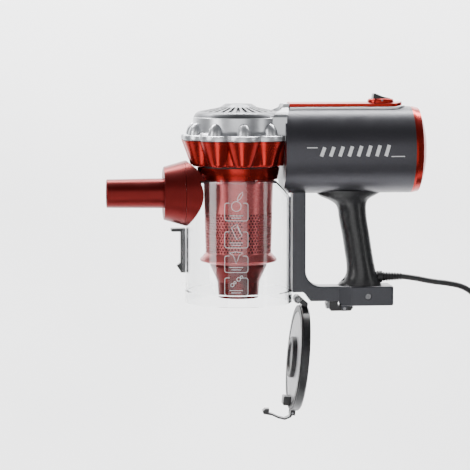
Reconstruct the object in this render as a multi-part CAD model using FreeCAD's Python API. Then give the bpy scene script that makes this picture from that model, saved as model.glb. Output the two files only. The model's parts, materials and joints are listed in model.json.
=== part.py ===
"""Handheld cyclone vacuum cleaner, in millimetres.

Frame: +Z up, the inlet tube points along -X, and the machine is symmetric about the plane Y = 0.
The origin is the middle of the hand grip.
"""
import FreeCAD, Part
import math
import os

V = FreeCAD.Vector

# ---- driving dimensions ----
BIN_X = -127.4          # upright axis shared by the bin, the shroud and the cyclone cones
BIN_R = 55.5            # outside of the clear bin wall
BIN_INNER = 52.9        # inside of the clear bin wall
BIN_TOP = 68.7
BIN_BOTTOM = -60.5
RIM_R = 56.2            # thicker rim at the foot of the bin
RIM_TOP = -47.5
SLOPE = -23.2           # x + z on the sloping joint at the rear top corner of the bin

BARREL_Z = 98.7         # level axis of the motor barrel
BARREL_R = 45.5
BARREL_WALL = 2.5
BARREL_FRONT = -82.0
BARREL_REAR = 53.4
CYCLONE_REAR = -82.7    # the round cyclone parts are cut flat here, in front of the barrel

INLET_Z = 54.0
TUBE_BORE = 13.0

SHROUD_R = 36.5
SHROUD_FOOT_R = 34.4
TUBE_BORE_R = 18.9      # air tube in the middle of the cyclone
COLLAR_BOTTOM = 69.0
COLLAR_TOP = 81.3
CONE_BOTTOM = 83.0
CONE_TOP = 109.5
CROWN_RIM_TOP = 115.5
CROWN_R = 47.5
CROWN_TOP = 133.6
LOBES = 10
LOBE_AXIS_R = 41.0      # radius of the circle on which the lobes stand
LOBE_TOP_R = 20.0
LOBE_FOOT_R = 10.0
LOBE_TURN = 1.0         # degrees from straight sideways to the nearest lobe
DOME_R = 9.5            # dome on each lobe
DOME_AXIS_R = 46.0      # radius of the circle on which the domes stand

FRAME_HALF = 11.0       # half the width of the upright arm and its foot
ARM_FRONT = -71.2
ARM_REAR = -57.3
FOOT_TOP = -44.6
FOOT_BOTTOM = -60.2
BLOCK_HALF = 18.0
BLOCK_BOTTOM = -65.1
BLOCK_FRONT = -22.0
BLOCK_REAR = 35.2
LEVER_X = -16.0          # pivot of the release lever under the block
LEVER_Z = -68.6

HINGE_X = -65.1         # door hinge pin
HINGE_Z = -58.6
DOOR_OPEN = 84.6        # degrees between shut and the resting, hanging door
DOOR_TOP = -61.6        # upper face of the shut door

CORD_D = 6.0
COIL_X = 155.0          # middle of the tied coil, which stands across the machine
COIL_Z = -133.0
COIL_INNER = 23.5
COIL_OUTER = 48.5
COIL_HALF = 18.4
LEAD_ROUTE = [
    (46.4, 0, -36.0), (61, 0, -37.9), (79, 0, -42.0), (97, 0.3, -44.0), (114, 3, -48.0), (128, 9, -58.0),
    (136, 18.5, -73.5), (139, 29, -92), (139.6, 39, -112), (139.75, 45.3, -133),
]
TAIL_ROUTE = [
    (170.25, 42.2, -133), (170.2, 41.8, -146), (169, 39.5, -161), (167, 36, -177), (166, 33.5, -192),
]
PLUG_TOP = -192.0
PLUG_X = 166.0
PLUG_Y = 33.5
PIN_SPACING = 9.0       # from the middle of the plug to each of its pins

FIT = 0.06              # radial running clearance of pins and shafts
SEAM = 0.05             # gap between fixed pieces that meet face to face
SADDLE_R = BARREL_R + 0.1       # pieces that sit on the barrel are cut to this radius

HINGE_PIN_R = 2.0
CATCH_PIN_R = 1.0
ROCKER_PIN_R = 1.2
LEVER_PIN_R = 1.5
SHAFT_R = 4.0           # motor shaft


# ---- shape helpers ----
def box(x0, x1, y0, y1, z0, z1):
    return Part.makeBox(x1 - x0, y1 - y0, z1 - z0, V(x0, y0, z0))


def rod_x(r, x0, x1, z, y=0):
    return Part.makeCylinder(r, x1 - x0, V(x0, y, z), V(1, 0, 0))


def rod_y(r, y0, y1, x, z):
    return Part.makeCylinder(r, y1 - y0, V(x, y0, z), V(0, 1, 0))


def rod_z(r, z0, z1, x=BIN_X, y=0):
    return Part.makeCylinder(r, z1 - z0, V(x, y, z0), V(0, 0, 1))


def ring_x(r, bore, x0, x1, z=BARREL_Z):
    return rod_x(r, x0, x1, z).cut(rod_x(bore, x0 - 1, x1 + 1, z))


def ring_z(r, bore, z0, z1):
    return rod_z(r, z0, z1).cut(rod_z(bore, z0 - 1, z1 + 1))


def polygon(points):
    return Part.makePolygon(points + [points[0]])


def turned_z(profile, x=BIN_X):
    """Solid of revolution about the upright axis at x, from (radius, z) corners."""
    face = Part.Face(polygon([V(x + r, 0, z) for r, z in profile]))
    return face.revolve(V(x, 0, 0), V(0, 0, 1), 360)


def turned_x(profile, z=BARREL_Z):
    """Solid of revolution about the level axis at height z, from (x, radius) corners."""
    face = Part.Face(polygon([V(x, 0, z + r) for x, r in profile]))
    return face.revolve(V(0, 0, z), V(1, 0, 0), 360)


def slab(points, y0, y1):
    """Outline of (x, z) corners, carried from y0 to y1."""
    face = Part.Face(polygon([V(x, y0, z) for x, z in points]))
    return face.extrude(V(0, y1 - y0, 0))


def rounded(shape, radius, keep):
    """Fillet the edges for which keep(edge) is true."""
    return shape.makeFillet(radius, [e for e in shape.Edges if keep(e)])


def along_y(edge):
    a, b = edge.Vertexes[0].Point, edge.Vertexes[-1].Point
    return abs(a.x - b.x) < 0.01 and abs(a.z - b.z) < 0.01


def rounded_block(x0, x1, half, z0, z1, radius):
    block = box(x0, x1, -half, half, z0, z1)
    return block.makeFillet(radius, block.Edges)


def below_slope(level):
    """Everything where x + z is less than level, within reach of the machine."""
    return slab([(-300, level + 300), (-300, -300), (level + 300, -300)], -100, 100)


def left_half(shape):
    return shape.common(box(-320, 320, -120, 0, -320, 320))


def right_half(shape):
    return shape.common(box(-320, 320, 0, 120, -320, 320))


def around_bin(shape, angle):
    copy = shape.copy()
    copy.rotate(V(BIN_X, 0, 0), V(0, 0, 1), angle)
    return copy


def spread(shape, count, start=0.0):
    return [around_bin(shape, start + i * 360.0 / count) for i in range(count)]


def spread_x(shape, count):
    copies = []
    for i in range(count):
        copy = shape.copy()
        copy.rotate(V(0, 0, BARREL_Z), V(1, 0, 0), i * 360.0 / count)
        copies.append(copy)
    return copies


def fuse(shapes):
    return shapes[0].fuse(shapes[1:]).removeSplitter()


def opened(shape):
    """Turn a piece drawn on the shut door to where the open door hangs."""
    copy = shape.copy()
    copy.rotate(V(HINGE_X, 0, HINGE_Z), V(0, 1, 0), -DOOR_OPEN)
    return copy


def save(name, shape):
    if not shape.isValid():
        print("NOT VALID:", name)
    shape.exportStep("parts/" + name + ".step")


# ---- bin ----
BALL_FRONT = -206.3
BALL_FRONT_R = 27.9
BALL_SEAM = -184.2
BALL_REAR = -158.0
BALL_FLARE = 0.284      # growth of the radius for each millimetre rearwards
BALL_WALL = 2.6


def ball_r(x):
    return BALL_FRONT_R + BALL_FLARE * (x - BALL_FRONT)


def make_inlet_tube():
    profile = [
        (-265.7, TUBE_BORE + 0.5), (-265.2, TUBE_BORE), (-204.4, TUBE_BORE), (-204.4, 15.8),
        (-264.9, 15.0), (-265.7, 14.4),
    ]
    save("inlet_tube", turned_x(profile, INLET_Z))


def make_inlet_ball():
    """Flared inlet housing: a front cone, and behind the seam a saddle that sits on the bin."""
    solid = turned_x([
        (BALL_FRONT + 1.8, 0), (BALL_FRONT + 1.8, 17), (BALL_FRONT, BALL_FRONT_R - 0.8),
        (BALL_FRONT + 0.5, BALL_FRONT_R), (BALL_REAR, ball_r(BALL_REAR)), (BALL_REAR, 0),
    ], INLET_Z)
    hollow = turned_x([
        (BALL_FRONT + 4.2, 0), (BALL_FRONT + 4.2, BALL_FRONT_R - BALL_WALL),
        (BALL_REAR + 1, ball_r(BALL_REAR + 1) - BALL_WALL), (BALL_REAR + 1, 0),
    ], INLET_Z)
    shell = solid.cut(hollow).cut(rod_x(15.85, -240, -200, INLET_Z))
    front = shell.common(box(-220, BALL_SEAM - 0.15, -50, 50, 0, 110))
    save("inlet_cone", front)
    roof_clear = turned_z([
        (0, BIN_TOP - 0.5), (52.6, BIN_TOP - 0.5), (52.6, 81), (57.5, 95), (57.5, 110), (0, 110),
    ])
    saddle = shell.common(box(BALL_SEAM + 0.15, BALL_REAR, -50, 50, 0, 110))
    saddle = saddle.cut(rod_z(BIN_R + 0.05, -10, BIN_TOP + 0.05)).cut(roof_clear)
    roof = box(-190, -160, -38, 38, BIN_TOP + 0.1, BIN_TOP + 2.3)
    roof = roof.common(hollow).cut(rod_z(52.6, 60, 110))
    roof = roof.cut(box(-200, BALL_SEAM + 0.15, -50, 50, 0, 110))
    save("inlet_saddle", fuse([saddle, roof]))


def make_bin():
    wall = turned_z([
        (BIN_INNER, BIN_TOP), (BIN_R, BIN_TOP), (BIN_R, RIM_TOP), (RIM_R, RIM_TOP - 1.2),
        (RIM_R, BIN_BOTTOM), (BIN_INNER, BIN_BOTTOM),
    ])
    rails = [box(-187.0, -180.5, y, y + 1.8, -29.4, 17.0) for y in (-8.6, 6.8)]
    ledge = box(-187.0, -180.5, -5.0, 5.0, -42.6, -40.6)
    ledge_rib = box(-184.6, -180.5, -0.9, 0.9, -46.0, -40.6)
    ears = [
        slab([(-76, -50), (HINGE_X, HINGE_Z + 5), (HINGE_X + 5, HINGE_Z), (HINGE_X, HINGE_Z - 4.4),
              (-70.4, BIN_BOTTOM), (-76, BIN_BOTTOM)], y, y + 3.0)
        for y in (-10.9, 7.9)
    ]
    solid = fuse([wall] + rails + [ledge, ledge_rib] + ears)
    solid = solid.cut(rod_z(BIN_INNER, -80, 90)).common(below_slope(SLOPE - 0.4))
    solid = solid.cut(rod_x(15.0, -195, -165, 49.0))
    solid = solid.cut(rod_y(1.6, -20, 20, HINGE_X, HINGE_Z))
    save("dust_bin", solid)


def make_latch():
    bar = box(-188.5, -183.6, -6.4, 6.4, -28.9, 17.4)
    tab = box(-198.6, -186.0, -6.4, 6.4, 14.0, 17.4)
    tab = rounded(tab, 1.4, along_y)
    barb = slab([(-188.0, -18.4), (-192.6, -22.0), (-188.0, -28.6)], -4.0, 4.0)
    pocket = box(-185.6, -183.0, -3.2, 3.2, -22.0, 6.0)
    save("bin_latch", fuse([bar, tab, barb]).cut(pocket))
    spring = ring_at_z(2.0, 1.3, -21.6, 5.6, -185.8 + 2.1 - 0.1)
    save("latch_spring", spring.common(box(-185.4, -183.1, -5, 5, -30, 20)))


def ring_at_z(r, bore, z0, z1, x):
    return rod_z(r, z0, z1, x).cut(rod_z(bore, z0 - 1, z1 + 1, x))


# ---- door, drawn shut and then opened ----
CATCH_X = -186.4
CATCH_Z = -64.6


def make_door():
    dish = turned_z([
        (0, DOOR_TOP), (54.8, DOOR_TOP), (RIM_R, DOOR_TOP - 1.2), (RIM_R, -68.8), (55.0, -70.3),
        (53.4, -70.3), (50.0, -67.6), (30.0, -69.4), (8.0, -70.6), (6.0, -72.4), (0, -72.4),
    ])
    knuckle = rod_y(4.2, -7.5, 7.5, HINGE_X, HINGE_Z)
    arm_side = [
        (-74.0, -63.0), (-70.2, -63.0), (HINGE_X - 3.6, HINGE_Z - 2.0), (HINGE_X + 2.6, HINGE_Z - 3.2),
        (-68.0, -69.6), (-74.0, -69.6),
    ]
    arm = slab(arm_side, -7.5, 7.5)
    boss = rounded_block(-178.6, -169.0, 8.0, DOOR_TOP - 2.0, -53.5, 1.2)
    ears = [box(CATCH_X - 2.2, -178.0, y, y + 2.2, -67.6, -62.2) for y in (-7.4, 5.2)]
    solid = fuse([dish, knuckle, arm, boss] + ears)
    seat_floor = DOOR_TOP - 0.8
    seat = ring_z(55.3, 48.4, seat_floor, DOOR_TOP + 0.1)
    face_seat = ring_z(48.2, 0.01, seat_floor, DOOR_TOP + 0.1)
    solid = solid.cut(rod_y(HINGE_PIN_R + FIT, -20, 20, HINGE_X, HINGE_Z))
    solid = solid.cut(rod_y(CATCH_PIN_R, -12, 12, CATCH_X, CATCH_Z))
    boss_foot = box(-180.0, -168.4, -8.6, 8.6, DOOR_TOP - 2.0, -50.0)
    solid = solid.cut(seat.cut(boss_foot)).cut(face_seat.cut(boss_foot))
    save("bin_door", opened(solid))
    seal = ring_z(55.2, 48.5, seat_floor, DOOR_TOP + 0.7).cut(boss_foot)
    save("door_seal", opened(seal))
    face_top = DOOR_TOP + 0.2
    face = rod_z(48.1, seat_floor, face_top).cut(boss_foot)
    save("door_inner_face", opened(face))
    plug = turned_z([
        (0, face_top), (21.8, face_top), (21.8, -57.4), (20.8, -56.5), (16.5, -56.5),
        (15.5, -58.6), (0, -58.6),
    ])
    save("funnel_plug", opened(plug))
    middle = rod_y(HINGE_PIN_R, -7.8, 7.8, HINGE_X, HINGE_Z)
    ends = rod_y(1.6, -12.0, 12.0, HINGE_X, HINGE_Z)
    save("door_hinge_pin", middle.fuse(ends))
    save("catch_pin", opened(rod_y(CATCH_PIN_R, -7.4, 7.4, CATCH_X, CATCH_Z)))


def make_catch():
    """Springy J-shaped catch that hooks over the ledge on the front of the shut bin."""
    shape = [
        (CATCH_X - 1.0, CATCH_Z - 1.6), (-191.6, -63.4), (-194.6, -57.4), (-193.4, -50.0), (-190.8, -43.2),
        (-190.0, -34.4), (-187.0, -33.2), (-184.3, -35.6), (-184.0, -39.9), (-188.4, -39.9), (-189.0, -43.6),
        (-191.6, -50.4), (-192.7, -57.2), (-190.4, -61.9), (CATCH_X + 1.2, CATCH_Z + 1.6),
    ]
    strip = slab(shape, -4.6, 4.6)
    knuckle = rod_y(2.0, -4.6, 4.6, CATCH_X, CATCH_Z)
    solid = fuse([strip, knuckle]).cut(rod_y(CATCH_PIN_R + FIT, -8, 8, CATCH_X, CATCH_Z))
    save("door_catch", opened(solid))


# ---- cyclone ----
def make_shroud():
    """Perforated sleeve, the skirt at its foot, and the funnel with the air tube inside."""
    wall = 2.0
    top = COLLAR_BOTTOM - SEAM
    foot = -8.6
    save("dust_shroud", turned_z([
        (SHROUD_R, top), (SHROUD_FOOT_R, foot), (SHROUD_FOOT_R - wall, foot), (SHROUD_R - wall, top),
    ]))
    save("shroud_skirt", turned_z([
        (SHROUD_FOOT_R, foot - SEAM), (36.2, -10.5), (40.5, -15.5), (39.8, -17.2), (30.5, -20.0),
        (28.5, -20.0), (28.5, -18.6), (37.0, -15.6), (33.0, -11.0), (SHROUD_FOOT_R - wall, foot - SEAM),
    ]))
    funnel = turned_z([
        (29.8, -20.05), (29.4, -23.1), (25.2, -31.8), (22.1, -39.3), (20.9, -55.7),
        (TUBE_BORE_R, -55.7), (20.1, -39.8), (23.3, -32.6), (27.4, -23.6), (27.8, -20.05),
    ])
    inner_tube = ring_z(20.6, TUBE_BORE_R, -48.0, CONE_BOTTOM - 1.5)
    flange = ring_z(37.6, TUBE_BORE_R, CONE_BOTTOM - 1.6, CONE_BOTTOM - SEAM)
    flange = flange.cut(spread(rod_z(5.5, 60, 90, BIN_X, -29.0), 8))
    save("fine_dust_funnel", fuse([funnel, inner_tube, flange]))


def make_collar_and_plate():
    collar = turned_z([(41.0, COLLAR_BOTTOM), (43.4, COLLAR_TOP), (40.4, COLLAR_TOP), (38.0, COLLAR_BOTTOM)])
    save("cyclone_collar", collar)
    save("collar_gasket", ring_z(41.6, 38.0, COLLAR_TOP + SEAM, CONE_BOTTOM - SEAM))
    outer = rod_z(52.2, 30, BIN_TOP).common(below_slope(SLOPE))
    inner = rod_z(60, 20, BIN_TOP - 2.2).common(below_slope(SLOPE - 3.2))
    save("bin_top_plate", outer.cut(inner).cut(rod_z(SHROUD_R + 0.1, 20, 90)))


def lobe(foot_r, top_r, z0, z1, axis_r=LOBE_AXIS_R):
    return Part.makeCone(foot_r, top_r, z1 - z0, V(BIN_X, -axis_r, z0), V(0, 0, 1))


def cyclone_front():
    return box(-220, CYCLONE_REAR, -90, 90, 0, 200)


def make_cones():
    core = Part.makeCone(44.5, 53.2, CONE_TOP - CONE_BOTTOM, V(BIN_X, 0, CONE_BOTTOM), V(0, 0, 1))
    lobes = spread(lobe(LOBE_FOOT_R, LOBE_TOP_R, CONE_BOTTOM, CONE_TOP), LOBES, LOBE_TURN)
    solid = fuse([core] + lobes).cut(rod_z(36.0, 60, 140)).common(cyclone_front())
    save("cyclone_cones", solid)


def make_crown():
    """Silver cover over the cones: a scalloped band, a dome on each lobe and a round wall."""
    foot = CONE_TOP + SEAM
    scallop = rod_z(LOBE_TOP_R + 0.4, foot, CROWN_RIM_TOP, BIN_X, -LOBE_AXIS_R)
    band = spread(scallop, LOBES, LOBE_TURN)
    dome = Part.makeSphere(DOME_R, V(BIN_X, -DOME_AXIS_R, CROWN_RIM_TOP + 2.0))
    dome = dome.common(rod_z(70, CROWN_RIM_TOP - 1, 140))
    wall = rod_z(CROWN_R, foot, CROWN_TOP)
    solid = fuse([wall] + band + spread(dome, LOBES, LOBE_TURN))
    solid = solid.cut(rod_z(CROWN_R - 2.5, CROWN_RIM_TOP, 150)).cut(rod_z(30.0, 100, 150))
    solid = solid.common(cyclone_front())
    save("cyclone_crown", solid)
    return solid


BRIDGE_HALF = 35.0
BRIDGE_FOOT = 109.6
BRIDGE_TOP = 147.2
# corners of the bevel, as half width and height
BRIDGE_BEVEL = [(BRIDGE_HALF, 134.0), (33.2, 137.0), (30.6, 139.0), (18.0, 143.4), (14.5, BRIDGE_TOP)]
BRIDGE_SIDE = [
    (-110.0, BRIDGE_FOOT), (-80.5, BRIDGE_FOOT), (-80.5, 133.4), (-75.4, BRIDGE_TOP), (-110.0, BRIDGE_TOP),
]
CAP_CLEAR = 47.5        # round room left free for the filter cap to lift out


def bridge_body():
    """Neck with a bevelled section, carried back from the crown to the barrel."""
    front = BRIDGE_SIDE[0][0]
    half = [(BRIDGE_HALF, BRIDGE_FOOT)] + BRIDGE_BEVEL
    near = [V(front, y, z) for y, z in half]
    far = [V(front, -y, z) for y, z in reversed(half)]
    section = Part.Face(polygon(near + far))
    return section.extrude(V(50, 0, 0)).common(slab(BRIDGE_SIDE, -60, 60))


def make_bridge(crown):
    """Silver neck that joins the crown to the barrel, hollow on both sides of its air duct."""
    solid = bridge_body().cut(rod_x(SADDLE_R, BARREL_FRONT - 0.1, -60, BARREL_Z))
    solid = solid.cut(rod_z(CROWN_R - 2.5, 60, CROWN_TOP)).cut(crown).cut(rod_z(70, 90, CONE_TOP + 0.3))
    solid = solid.cut(rod_z(CAP_CLEAR, CROWN_TOP - 0.1, 160)).cut(rod_x(28.0, -120, -60, BARREL_Z))
    solid = solid.cut(box(-98.0, -78.0, -16.0, 16.0, 110.0, 138.0))
    for y0, y1 in ((-BRIDGE_HALF + 3.0, -18.5), (18.5, BRIDGE_HALF - 3.0)):
        solid = solid.cut(box(-105.0, -70.0, y0, y1, 112.0, 132.0).cut(rod_z(CROWN_R + 2.5, 100, 140)))
    save("crown_bridge", solid)


def make_filter_cap():
    outer = turned_z([
        (0, 147.4), (14.0, 147.4), (15.6, 146.6), (20.6, 143.5), (42.0, 139.3), (44.9, 137.2), (46.9, 134.0),
        (0, 134.0),
    ])
    inner = turned_z([(0, 144.6), (13.0, 144.6), (19.8, 140.9), (41.0, 136.8), (43.9, 133.0), (0, 133.0)])
    slots = spread(box(BIN_X - 0.9, BIN_X + 0.9, -39.0, -22.0, 138.0, 150.0), 30)
    cap = outer.cut(inner)
    shallow = cap.common(Part.makeCompound(slots)).common(turned_z([
        (0, 150), (45, 150), (45, 138.7), (38, 138.7), (21, 142.1), (0, 142.1)]))
    save("filter_cap", cap.cut(shallow).cut(box(CYCLONE_REAR, -60, -60, 60, 130, 160)))
    filter_body = ring_z(40.0, 12.0, CROWN_RIM_TOP + 1.0, 133.9).cut(box(-103.0, -60, -90, 90, 100, 200))
    save("pre_motor_filter", filter_body)


# ---- motor barrel ----
def neck_passage():
    return box(-16, 2, -9, 9, 48, 62)


def make_barrel():
    outer = turned_x([
        (BARREL_FRONT, 0), (BARREL_FRONT, BARREL_R - 0.6), (BARREL_FRONT + 0.6, BARREL_R),
        (BARREL_REAR - SEAM, BARREL_R), (BARREL_REAR - SEAM, 0),
    ])
    inner = rod_x(BARREL_R - BARREL_WALL, BARREL_FRONT + BARREL_WALL, 80, BARREL_Z)
    shell = outer.cut(inner).cut(rod_x(22.0, -100, -70, BARREL_Z + 8))
    cut_plane = below_slope(SLOPE + 1.6)
    front_plate = outer.common(below_slope(SLOPE + 5.2))
    shell = fuse([shell, front_plate]).cut(cut_plane).cut(neck_passage())
    save("motor_housing_left", left_half(shell))
    save("motor_housing_right", right_half(shell))


def make_rear_cap():
    apex = BARREL_REAR + 16.8
    edge_x, edge_r = BARREL_REAR + 8.0, 44.2
    bulge_r = (edge_r ** 2 + (apex - edge_x) ** 2) / (2 * (apex - edge_x))
    ball = Part.makeSphere(bulge_r, V(apex - bulge_r, 0, BARREL_Z))
    ball_in = Part.makeSphere(bulge_r - 2.4, V(apex - bulge_r, 0, BARREL_Z))
    drum = turned_x([
        (BARREL_REAR, 0), (BARREL_REAR, BARREL_R - 0.1), (BARREL_REAR + 2.2, BARREL_R - 0.1),
        (edge_x, edge_r), (80, edge_r), (80, 0),
    ])
    cap = drum.common(ball).cut(ball_in.common(rod_x(42.0, 0, 90, BARREL_Z)))
    slots = spread_x(box(50, 90, -1.3, 1.3, BARREL_Z + 12, BARREL_Z + 33), 18)
    save("rear_cap", cap.cut(slots))
    save("exhaust_filter", ring_x(41.0, 10.0, BARREL_REAR - 9.0, BARREL_REAR - 1.0))


SPINE_R = 50.3          # radius of the top of the spine about the barrel axis
SPINE_HALF = 13.0
SPINE_FRONT = -75.2
SPINE_BEND = 32.0       # where the round rear end starts
TRIM_R = 47.4
TRIM_HALF = 16.0
SWITCH_X = 22.5
SWITCH_Z = 150.6


def spine_plan(half):
    """Plan of the spine, as a tall block that has the given half width."""
    return fuse([box(-90.0, SPINE_BEND, -half, half, 120, 170), rod_z(half, 120, 170, SPINE_BEND)])


def make_spine():
    """Raised strip along the top of the barrel, round at its rear end, with a thin trim beside it."""
    pocket = box(SWITCH_X - 9.9, SWITCH_X + 10.9, -7.2, 7.2, 120, 170)
    spine = ring_x(SPINE_R, SADDLE_R, SPINE_FRONT, 50.0).common(spine_plan(SPINE_HALF))
    save("top_spine", spine.cut(pocket))
    trim = ring_x(TRIM_R, SADDLE_R, SPINE_FRONT, 50.0).common(spine_plan(TRIM_HALF))
    save("spine_trim", trim.cut(spine_plan(SPINE_HALF + SEAM)))


def make_switch():
    """Red oval bezel on the spine, with a rocker that tips about a cross pin."""
    def oval(a, b, z0, z1):
        ends = [rod_z(b, z0, z1, SWITCH_X + s * (a - b)) for s in (-1, 1)]
        return fuse(ends + [box(SWITCH_X - a + b, SWITCH_X + a - b, -b, b, z0, z1)])
    bezel = oval(13.8, 11.0, 144.0, 152.2)
    bezel = rounded(bezel, 2.2, lambda e: e.BoundBox.ZMin > 152.0)
    opening = box(SWITCH_X - 10.3, SWITCH_X + 10.3, -7.0, 7.0, 130, 170)
    bezel = bezel.cut(rod_x(SPINE_R + SEAM, -80, 80, BARREL_Z)).cut(opening)
    bezel = bezel.cut(rod_y(ROCKER_PIN_R, -12, 12, SWITCH_X, SWITCH_Z))
    save("switch_bezel", bezel)
    wedge_side = [
        (SWITCH_X - 8.2, 157.0), (SWITCH_X - 6.8, 157.9), (SWITCH_X + 1.5, 154.4), (SWITCH_X + 9.2, 152.7),
        (SWITCH_X + 9.2, 150.2), (SWITCH_X, 147.6), (SWITCH_X - 8.8, 151.4),
    ]
    wedge = slab(wedge_side, -6.5, 6.5)
    save("power_rocker", wedge.cut(rod_y(ROCKER_PIN_R + FIT, -12, 12, SWITCH_X, SWITCH_Z)))
    save("rocker_pin", rod_y(ROCKER_PIN_R, -9.0, 9.0, SWITCH_X, SWITCH_Z))
    save("switch_module", rounded_block(SWITCH_X - 5, SWITCH_X + 11, 6.5, 126.0, 140.5, 0.8))


def make_motor():
    """Series motor on the barrel axis, with its fan at the front."""
    stator_r = 36.0
    bearing_r = 9.5
    mount_r = BARREL_R - BARREL_WALL - 0.1
    save("motor_stator", ring_x(stator_r, 26.0, -20.0, 15.0))
    shaft = fuse([rod_x(SHAFT_R, -44.0, 40.0, BARREL_Z), rod_x(24.6, -18.0, 13.0, BARREL_Z)])
    winding = [rod_x(19.0, -25.0, -18.0, BARREL_Z), rod_x(19.0, 13.0, 18.0, BARREL_Z)]
    save("motor_rotor", fuse([shaft] + winding))
    save("commutator", ring_x(11.0, SHAFT_R, 20.0, 31.0))
    blades = spread_x(box(-41.0, -34.0, -1.0, 1.0, BARREL_Z + 8.0, BARREL_Z + 33.0), 9)
    plate = ring_x(33.5, SHAFT_R, -34.0, -32.0)
    hub = ring_x(10.0, SHAFT_R, -41.0, -32.0)
    save("suction_fan", fuse([plate, hub] + blades))
    cup = ring_x(36.5, 34.6, -44.0, -27.9)
    front = ring_x(36.5, 14.0, -46.0, -44.0)
    save("fan_shroud", fuse([cup, front]))
    bearings = [ring_x(bearing_r, SHAFT_R + FIT, x0, x0 + 6.0) for x0 in (-31.0, 33.0)]
    save("motor_bearings", Part.makeCompound(bearings))
    brackets = [ring_x(mount_r, bearing_r + SEAM, x0, x0 + 2.5) for x0 in (-27.8, 35.0)]
    save("motor_brackets", Part.makeCompound(brackets))
    save("motor_mount_ring", ring_x(mount_r, stator_r + SEAM, -8.0, 4.0))
    upper = box(22.0, 29.0, -3.0, 3.0, BARREL_Z + 11.3, BARREL_Z + 25.3)
    lower = box(22.0, 29.0, -3.0, 3.0, BARREL_Z - 25.3, BARREL_Z - 11.3)
    save("motor_brushes", Part.makeCompound([lower, upper]))


# ---- frame, grip and base ----
SCREWS = (
    # x, z, half width of the housing there, degrees of turn (180 puts the head on the far side)
    (8.3, -55.5, BLOCK_HALF, 0.0),
    (-3.0, 8.0, 14.0, 180.0),
    (1.0, -18.0, 14.0, 180.0),
)
SHANK_R = 1.45
HEAD_R = 3.0
HEAD_TOP = 2.6          # depth of the head below the side of the housing
HEAD_FOOT = 5.15


def screw_placed(shape, x, turn):
    """Turn a screw about its upright line, so that its head is on the near or the far side."""
    copy = shape.copy()
    copy.rotate(V(x, 0, 0), V(0, 0, 1), turn)
    return copy


def screw_recess():
    cuts = []
    for x, z, half, turn in SCREWS:
        head = rod_y(HEAD_R + 0.3, -half - 3, -half + HEAD_FOOT + SEAM, x, z)
        shank = rod_y(SHANK_R + 0.1, -half, 7.0, x, z)
        cuts.append(screw_placed(head, x, turn))
        cuts.append(screw_placed(shank, x, turn))
    return cuts


def make_screws():
    screws = []
    for x, z, half, turn in SCREWS:
        head = rod_y(HEAD_R, -half + HEAD_TOP, -half + HEAD_FOOT, x, z)
        cross = [
            box(x - a, x + a, -half + 2.5, -half + 3.8, z - c, z + c)
            for a, c in ((2.0, 0.4), (0.4, 2.0))
        ]
        screw = fuse([head.cut(cross), rod_y(SHANK_R, -half + HEAD_FOOT, 6.5, x, z)])
        screws.append(screw_placed(screw, x, turn))
    save("housing_screws", Part.makeCompound(screws))


def frame_outline():
    """Side outline of the upright arm and its foot, with a round inner corner."""
    inner_r = 17.0
    cx, cz = ARM_REAR + inner_r, FOOT_TOP + inner_r
    mid = inner_r * math.cos(math.radians(45))
    top = 62.0
    points = [
        V(ARM_FRONT, 0, top), V(ARM_FRONT, 0, -50.6), V(-60.4, 0, -50.6), V(-57.4, 0, -52.6),
        V(-54.0, 0, -57.4), V(-52.0, 0, FOOT_BOTTOM), V(BLOCK_FRONT - SEAM, 0, FOOT_BOTTOM),
        V(BLOCK_FRONT - SEAM, 0, FOOT_TOP), V(cx, 0, FOOT_TOP),
    ]
    edges = [Part.LineSegment(a, b).toShape() for a, b in zip(points, points[1:])]
    bend = Part.Arc(V(cx, 0, FOOT_TOP), V(cx - mid, 0, cz - mid), V(ARM_REAR, 0, cz)).toShape()
    rise = Part.LineSegment(V(ARM_REAR, 0, cz), V(ARM_REAR, 0, top)).toShape()
    close = Part.LineSegment(V(ARM_REAR, 0, top), points[0]).toShape()
    return Part.Wire(edges + [bend, rise, close])


def make_frame():
    face = Part.Face(frame_outline())
    face.translate(V(0, -FRAME_HALF, 0))
    solid = face.extrude(V(0, 2 * FRAME_HALF, 0))

    def on_inner_corner(edge):
        middle = edge.CenterOfMass
        beside = abs(abs(middle.y) - FRAME_HALF) < 0.01
        return beside and ARM_REAR - 0.1 < middle.x < -30 and middle.z > FOOT_TOP - 0.1

    solid = rounded(solid, 2.2, on_inner_corner)
    solid = solid.cut(rod_x(SADDLE_R, -100, 60, BARREL_Z))
    wire_way = box(-68.0, -60.6, -6.0, 6.0, -40.0, 46.0)
    solid = solid.cut(wire_way)
    save("frame_arm_left", left_half(solid))
    save("frame_arm_right", right_half(solid))


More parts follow.
